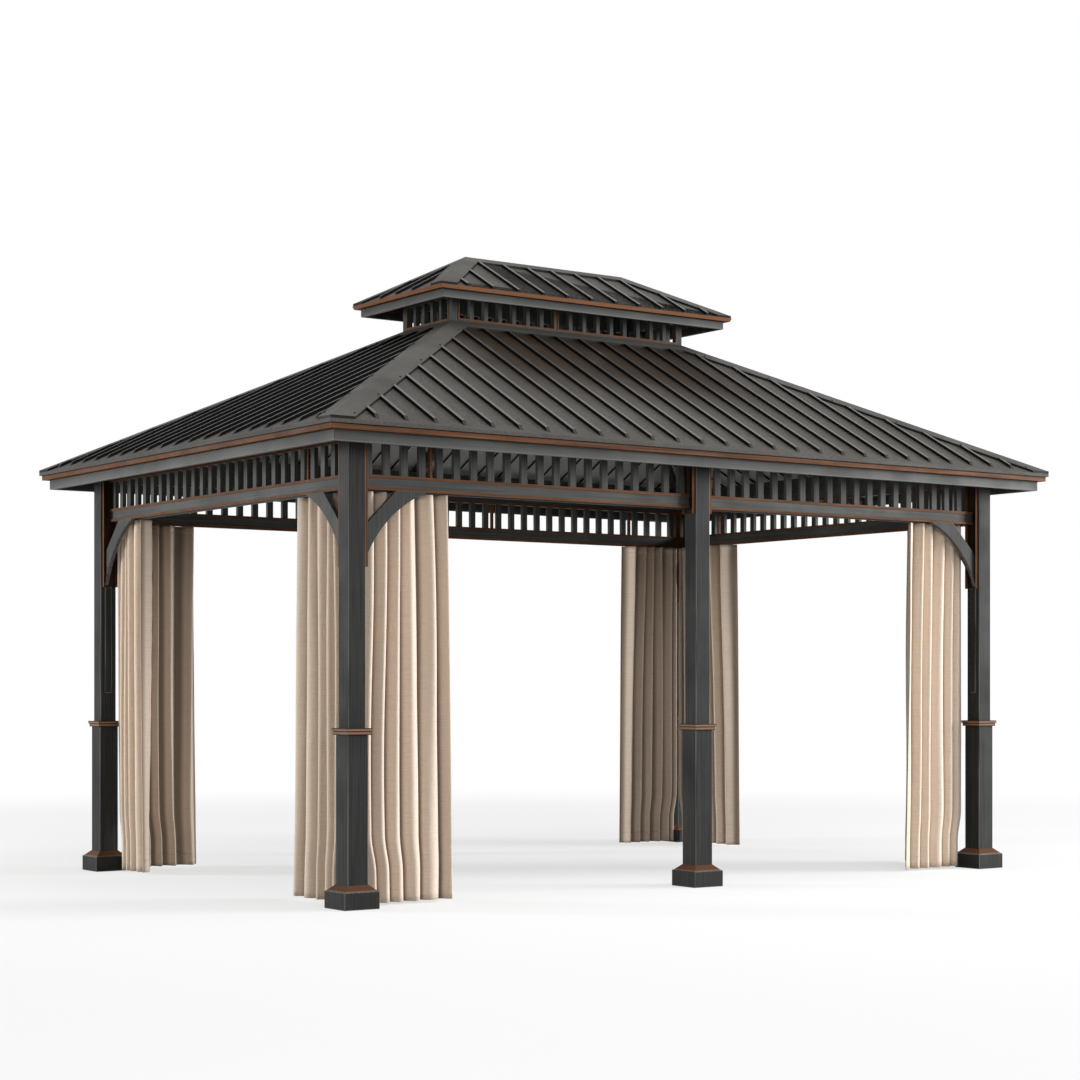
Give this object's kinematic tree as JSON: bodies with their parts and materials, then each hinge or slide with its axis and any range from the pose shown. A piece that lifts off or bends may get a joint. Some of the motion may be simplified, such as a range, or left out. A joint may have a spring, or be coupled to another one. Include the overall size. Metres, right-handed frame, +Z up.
{
  "type": "metal gazebo",
  "caption": "Hipped double-roof metal gazebo on square posts, with slatted friezes, knee braces, a slatted cupola and gathered curtains at the corners.",
  "frame": {"origin": "ground level under the middle of the gazebo", "axes": "+X runs along the ridge and the long side, +Y from the front to the back, +Z up"},
  "size_m": [4.894, 3.404, 3.552],
  "materials": {
    "charcoal": "satin charcoal powder coat with faint brushed streaks",
    "roof_sheet": "satin warm grey coated steel sheet",
    "bronze": "satin copper bronze coating",
    "linen": "beige woven linen"
  },
  "bodies": {
    "root": {"cupola_back": "charcoal", "cupola_curb": "charcoal", "cupola_front": "charcoal", "cupola_left": "charcoal", "cupola_right": "charcoal", "cupola_trims": "bronze", "curtain_back_at_left": "linen", "curtain_back_at_right": "linen", "curtain_front_at_left": "linen", "curtain_front_at_right": "linen", "curtain_left_at_back": "linen", "curtain_left_at_front": "linen", "curtain_right_at_back": "linen", "curtain_right_at_front": "linen", "curtain_tracks": "charcoal", "frieze_back_left": "charcoal", "frieze_back_right": "charcoal", "frieze_front_left": "charcoal", "frieze_front_right": "charcoal", "frieze_left": "charcoal", "frieze_right": "charcoal", "frieze_trims": "bronze", "knee_braces": "charcoal", "lower_eave_trim": "bronze", "lower_fascia": "charcoal", "lower_roof_back": "roof_sheet", "lower_roof_caps": "roof_sheet", "lower_roof_front": "roof_sheet", "lower_roof_left": "roof_sheet", "lower_roof_right": "roof_sheet", "mount_channels": "bronze", "post_back_left": "charcoal", "post_back_middle": "charcoal", "post_back_right": "charcoal", "post_base_trims": "bronze", "post_bases": "charcoal", "post_front_left": "charcoal", "post_front_middle": "charcoal", "post_front_right": "charcoal", "rafters": "charcoal", "top_plates": "charcoal", "upper_eave_trim": "bronze", "upper_fascia": "charcoal", "upper_roof_back": "roof_sheet", "upper_roof_caps": "roof_sheet", "upper_roof_front": "roof_sheet", "upper_roof_left": "roof_sheet", "upper_roof_right": "roof_sheet"}
  },
  "joints": []
}
